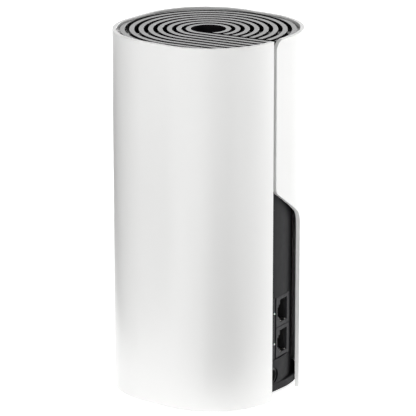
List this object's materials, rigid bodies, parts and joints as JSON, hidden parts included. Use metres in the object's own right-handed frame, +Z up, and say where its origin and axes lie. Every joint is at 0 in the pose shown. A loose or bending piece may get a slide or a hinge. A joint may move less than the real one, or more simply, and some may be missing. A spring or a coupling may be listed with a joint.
{
  "type": "mesh wifi node",
  "caption": "Tall rounded-square wireless mesh node: white wrapped sleeve with a seam, scroll-ribbed top grille and network sockets in a cut-away window.",
  "frame": {"origin": "middle of the resting plane, under the foot ring", "axes": "+Z up to the grille; -Y out of the network sockets; +X to the right when facing the sockets"},
  "size_m": [0.0924, 0.0924, 0.19],
  "materials": {
    "white_moulding": "satin white",
    "grille_moulding": "semi-gloss black",
    "screen_black": "matte black",
    "chassis_moulding": "fine-textured dark grey",
    "foot_rubber": "matte",
    "blank_label": "blank silver-grey",
    "bezel_moulding": "satin dark grey",
    "strip_moulding": "smoked",
    "lens_clear": "frosted clear",
    "led_body": "clear",
    "jack_plastic": "black",
    "plated_steel": "tin plated",
    "gold_contacts": "gold plated",
    "wire_jacket": "black",
    "connector_nylon": "natural nylon",
    "button_moulding": "dark grey",
    "switch_plastic": "black",
    "circuit_board": "green solder mask",
    "sink_aluminium": "extruded",
    "chip_epoxy": "moulded epoxy",
    "gap_pad": "soft silicone",
    "can_tinplate": "tinplate",
    "capacitor_can": "sleeved can",
    "coil_ferrite": "ferrite",
    "screw_steel": "zinc plated",
    "aerial_plate": "bare copper on film"
  },
  "bodies": {
    "main": {"aerial_1": "aerial_plate", "aerial_2": "aerial_plate", "aerial_cables": "wire_jacket", "aerial_sockets": "gold_contacts", "base_screws": "screw_steel", "base_tray": "chassis_moulding", "board_posts": "chassis_moulding", "board_screws": "screw_steel", "button_board": "circuit_board", "clock_crystal": "can_tinplate", "flash_chip": "chip_epoxy", "heat_sink_left": "sink_aluminium", "heat_sink_right": "sink_aluminium", "indicator_strip": "strip_moulding", "inlet_leads": "wire_jacket", "inlet_pin": "plated_steel", "jack_1_housing": "jack_plastic", "jack_1_shield": "plated_steel", "jack_2_housing": "jack_plastic", "jack_2_shield": "plated_steel", "jack_contacts": "gold_contacts", "lead_plug": "connector_nylon", "light_pipe": "lens_clear", "line_transformers": "chip_epoxy", "link_lenses": "lens_clear", "main_board": "circuit_board", "memory_chip": "chip_epoxy", "outer_sleeve": "white_moulding", "port_panel": "chassis_moulding", "power_coils": "coil_ferrite", "power_inlet": "jack_plastic", "processor": "chip_epoxy", "radio_can_high_band": "can_tinplate", "radio_can_low_band": "can_tinplate", "rating_label": "blank_label", "rear_frame": "chassis_moulding", "reset_switch": "plated_steel", "rubber_foot": "foot_rubber", "shield_springs": "plated_steel", "smoothing_capacitors": "capacitor_can", "socket_bezel": "bezel_moulding", "status_led": "led_body", "status_lens": "lens_clear", "switch_chip": "chip_epoxy", "thermal_pads": "gap_pad", "top_grille": "grille_moulding", "vent_screen": "screen_black"},
    "reset": {"reset_button": "button_moulding", "switch_plunger": "switch_plastic"}
  },
  "joints": [
    {"name": "reset_press", "type": "slide", "parent": "main", "child": "reset", "axis": [0, 0, 1], "range_m": [0, 0.0005], "stiffness_N_per_m": 1000, "springref_m": -0.0002}
  ]
}
